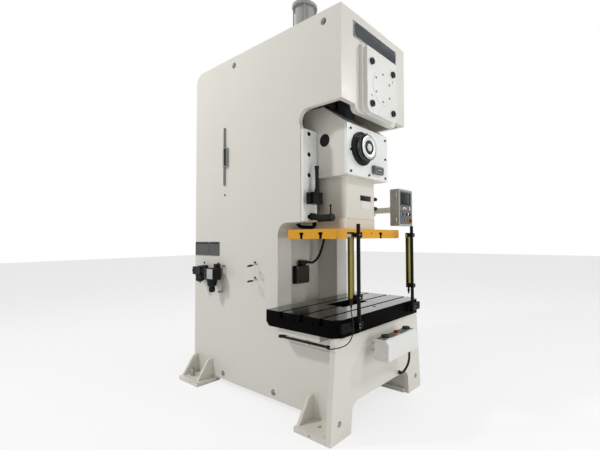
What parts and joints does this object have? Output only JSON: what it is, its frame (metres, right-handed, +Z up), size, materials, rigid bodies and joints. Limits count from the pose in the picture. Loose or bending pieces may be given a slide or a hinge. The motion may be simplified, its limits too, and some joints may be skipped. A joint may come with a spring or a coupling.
{
  "type": "mechanical stamping press",
  "caption": "Open-front mechanical stamping press with a C-shaped welded frame, a crank-driven slide over a T-slotted bolster, light curtains and a two-hand desk.",
  "frame": {"origin": "middle of the four foundation holes, on the floor", "axes": "+X to the operator's right, +Y to the back, +Z up"},
  "size_m": [1.482, 2.397, 3.535],
  "materials": {
    "cream_paint": "satin paint",
    "white_paint": "satin paint",
    "yellow_paint": "satin paint",
    "grey_paint": "satin paint",
    "olive_paint": "satin paint",
    "ground_steel": "ground and oiled",
    "machined_steel": "machined",
    "black_steel": "black oxide",
    "cast_iron": "as cast, painted",
    "bronze": "machined",
    "aluminium": "anodised",
    "black_plastic": "moulded",
    "grey_plastic": "moulded",
    "green_plastic": "moulded",
    "red_plastic": "moulded",
    "belt_rubber": "ribbed",
    "cable_sheath": "smooth sheath",
    "zinc_steel": "zinc plated"
  },
  "bodies": {
    "frame": {"side_plate_left": "cream_paint", "side_plate_right": "cream_paint", "throat_liners": "cream_paint", "back_web": "cream_paint", "crown_front_plate": "cream_paint", "crown_top_plate": "cream_paint", "cross_walls": "cream_paint", "shaft_bushes": "bronze", "guide_blocks": "cast_iron", "front_gibs": "white_paint", "frame_bolts": "black_steel", "bed_front_plate": "cream_paint", "bolster_seats": "cream_paint", "feet": "cream_paint", "bolster": "ground_steel", "crank_cover": "white_paint", "counterbalance_cylinders": "grey_paint", "level_gauge": "grey_plastic", "side_vent": "grey_paint", "air_filter": "black_plastic", "air_regulator": "black_plastic", "air_pipe": "machined_steel", "tool_rings": "zinc_steel", "lube_distributor": "black_steel", "limit_switch": "black_plastic", "cable_conduit": "zinc_steel", "curtain_posts": "zinc_steel", "light_curtains": "olive_paint", "two_hand_box": "white_paint", "junction_box": "cream_paint", "pendant_bracket": "white_paint", "motor": "grey_paint", "v_belts": "belt_rubber", "rear_panel": "cream_paint", "curtain_cable": "cable_sheath", "two_hand_cable": "cable_sheath", "throat_hose": "cable_sheath"},
    "crank": {"crankshaft": "machined_steel", "main_gear": "cast_iron"},
    "rod": {"connecting_rod": "cast_iron"},
    "slide": {"slide_body": "cream_paint", "slide_cover": "white_paint", "slide_bolts": "black_steel", "slide_plate": "yellow_paint", "adjuster_drum": "black_plastic", "height_indicator": "grey_plastic", "balance_rods": "machined_steel"},
    "screw": {"adjusting_screw": "machined_steel"},
    "pinion": {"pinion_shaft": "machined_steel"},
    "flywheel": {"flywheel": "cast_iron"},
    "motor_rotor": {"motor_pulley": "cast_iron"},
    "pendant": {"pendant_arm": "white_paint", "pendant_box": "grey_paint"},
    "pendant_stop": {"pendant_stop": "red_plastic"},
    "palm_left": {"palm_button_left": "green_plastic"},
    "palm_right": {"palm_button_right": "green_plastic"},
    "stop": {"stop_button": "red_plastic"},
    "door": {"rear_door": "cream_paint"},
    "handle": {"door_handle": "black_plastic"},
    "knob": {"regulator_knob": "black_plastic"}
  },
  "joints": [
    {"name": "crank_turn", "type": "hinge", "parent": "frame", "child": "crank", "pos_m": [0, -0.658, 2.757], "axis": [0, 1, 0], "range_deg": [0, 180]},
    {"name": "slide_stroke", "type": "slide", "parent": "frame", "child": "slide", "axis": [0, 0, 1], "range_m": [-0.2, 0]},
    {"name": "rod_turn", "type": "hinge", "parent": "crank", "child": "rod", "pos_m": [0, -0.658, 2.857], "axis": [0, 1, 0], "range_deg": [-180, 0]},
    {"name": "pinion_turn", "type": "hinge", "parent": "frame", "child": "pinion", "pos_m": [0, 0.075, 2.337], "axis": [0, 1, 0], "range_deg": [-900, 0]},
    {"name": "flywheel_spin", "type": "hinge", "parent": "frame", "child": "flywheel", "pos_m": [0, 0.49, 2.337], "axis": [0, 1, 0], "continuous": true},
    {"name": "motor_spin", "type": "hinge", "parent": "frame", "child": "motor_rotor", "pos_m": [0, 0.49, 1.65], "axis": [0, 1, 0], "continuous": true},
    {"name": "height_adjust", "type": "slide", "parent": "slide", "child": "screw", "axis": [0, 0, 1], "range_m": [-0.1, 0]},
    {"name": "pendant_swing", "type": "hinge", "parent": "frame", "child": "pendant", "pos_m": [0.56, -0.53, 1.745], "axis": [0, 0, 1], "range_deg": [0, 90]},
    {"name": "pendant_stop_press", "type": "slide", "parent": "pendant", "child": "pendant_stop", "axis": [0, 1, 0], "range_m": [0, 0.005], "stiffness_N_per_m": 1500, "springref_m": -0.01},
    {"name": "palm_left_press", "type": "slide", "parent": "frame", "child": "palm_left", "axis": [0, 0, -1], "range_m": [0, 0.006], "stiffness_N_per_m": 1500, "springref_m": -0.01},
    {"name": "palm_right_press", "type": "slide", "parent": "frame", "child": "palm_right", "axis": [0, 0, -1], "range_m": [0, 0.006], "stiffness_N_per_m": 1500, "springref_m": -0.01},
    {"name": "stop_press", "type": "slide", "parent": "frame", "child": "stop", "axis": [0, 0, -1], "range_m": [0, 0.006], "stiffness_N_per_m": 1500, "springref_m": -0.01},
    {"name": "door_swing", "type": "hinge", "parent": "frame", "child": "door", "pos_m": [-0.444, 1.118, 0.78], "axis": [0, 0, 1], "range_deg": [0, 110]},
    {"name": "handle_turn", "type": "hinge", "parent": "door", "child": "handle", "pos_m": [0.38, 1.118, 0.78], "axis": [0, 1, 0], "range_deg": [0, 90]},
    {"name": "regulator_turn", "type": "hinge", "parent": "frame", "child": "knob", "pos_m": [-0.56, 0.648, 0.955], "axis": [0, 0, 1], "range_deg": [0, 720]}
  ],
  "couplings": [
    {"joint": "slide_stroke", "follows": "crank_turn", "m_per_rad": -0.063662},
    {"joint": "rod_turn", "follows": "crank_turn", "ratio": -1},
    {"joint": "pinion_turn", "follows": "crank_turn", "ratio": -5},
    {"joint": "motor_spin", "follows": "flywheel_spin", "ratio": 4.5882}
  ]
}
